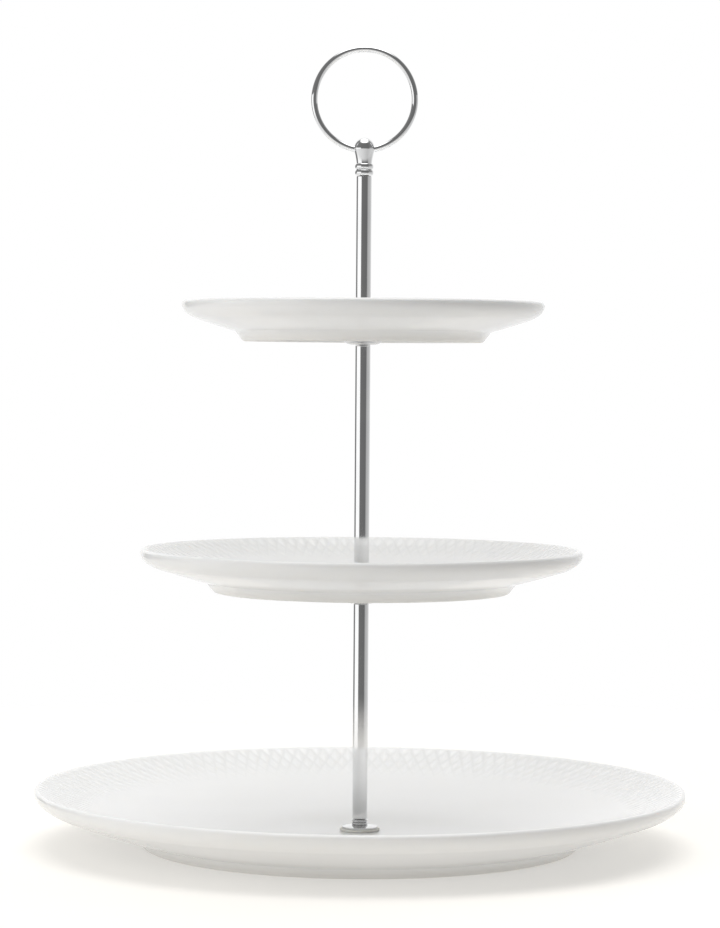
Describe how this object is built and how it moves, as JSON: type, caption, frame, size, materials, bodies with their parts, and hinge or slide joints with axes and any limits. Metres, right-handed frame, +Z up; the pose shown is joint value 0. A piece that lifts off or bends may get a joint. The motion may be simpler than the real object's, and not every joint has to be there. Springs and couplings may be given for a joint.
{
  "type": "tiered cake stand",
  "caption": "Tiered serving stand: round coupe plates, smaller towards the top, clamped on a slim chromed pole of screwed rods with a round carry ring.",
  "frame": {"origin": "on the table, under the pole's axis, at the plane of the bottom plate's foot ring", "axes": "+Z up along the pole; the carry ring stands in the XZ plane, so that +Y looks through it"},
  "size_m": [0.3, 0.3, 0.3679],
  "materials": {
    "porcelain": "white porcelain with a clear gloss glaze, bare on the foot ring's land",
    "chrome": "bright chrome plate on steel",
    "steel": "zinc-plated screw steel, satin",
    "gasket": "soft milky-clear washer material, matt"
  },
  "bodies": {
    "base": {"bottom_plate": "porcelain", "base_screw": "steel", "base_washer": "steel", "bottom_plate_lower_gasket": "gasket", "bottom_plate_upper_gasket": "gasket"},
    "lower_flange": {"lower_rod_foot_flange": "chrome"},
    "lower_rod": {"lower_rod": "chrome", "middle_plate_support_cup": "chrome", "middle_plate_lower_gasket": "gasket", "middle_plate": "porcelain", "middle_plate_upper_gasket": "gasket"},
    "upper_flange": {"upper_rod_foot_flange": "chrome"},
    "upper_rod": {"upper_rod": "chrome", "upper_rod_stud": "steel", "top_plate_support_cup": "chrome", "top_plate_lower_gasket": "gasket", "top_plate": "porcelain", "top_plate_upper_gasket": "gasket"},
    "handle_flange": {"handle_foot_flange": "chrome"},
    "handle": {"handle_rod": "chrome", "handle_stud": "steel", "finial_stud": "steel", "finial": "chrome", "carry_ring": "chrome"}
  },
  "joints": [
    {"name": "lower_rod_rise", "type": "slide", "parent": "base", "child": "lower_flange", "axis": [0, 0, 1], "range_m": [0, 0.0084]},
    {"name": "lower_rod_turn", "type": "hinge", "parent": "lower_flange", "child": "lower_rod", "pos_m": [0, 0, 0.0116], "axis": [0, 0, 1], "range_deg": [0, 4320]},
    {"name": "upper_rod_rise", "type": "slide", "parent": "lower_rod", "child": "upper_flange", "axis": [0, 0, 1], "range_m": [0, 0.0084]},
    {"name": "upper_rod_turn", "type": "hinge", "parent": "upper_flange", "child": "upper_rod", "pos_m": [0, 0, 0.1276], "axis": [0, 0, 1], "range_deg": [0, 4320]},
    {"name": "handle_rise", "type": "slide", "parent": "upper_rod", "child": "handle_flange", "axis": [0, 0, 1], "range_m": [0, 0.0084]},
    {"name": "handle_turn", "type": "hinge", "parent": "handle_flange", "child": "handle", "pos_m": [0, 0, 0.2437], "axis": [0, 0, 1], "range_deg": [0, 4320]}
  ],
  "couplings": [
    {"joint": "lower_rod_turn", "follows": "lower_rod_rise", "rad_per_m": 8976},
    {"joint": "upper_rod_turn", "follows": "upper_rod_rise", "rad_per_m": 8976},
    {"joint": "handle_turn", "follows": "handle_rise", "rad_per_m": 8976}
  ]
}
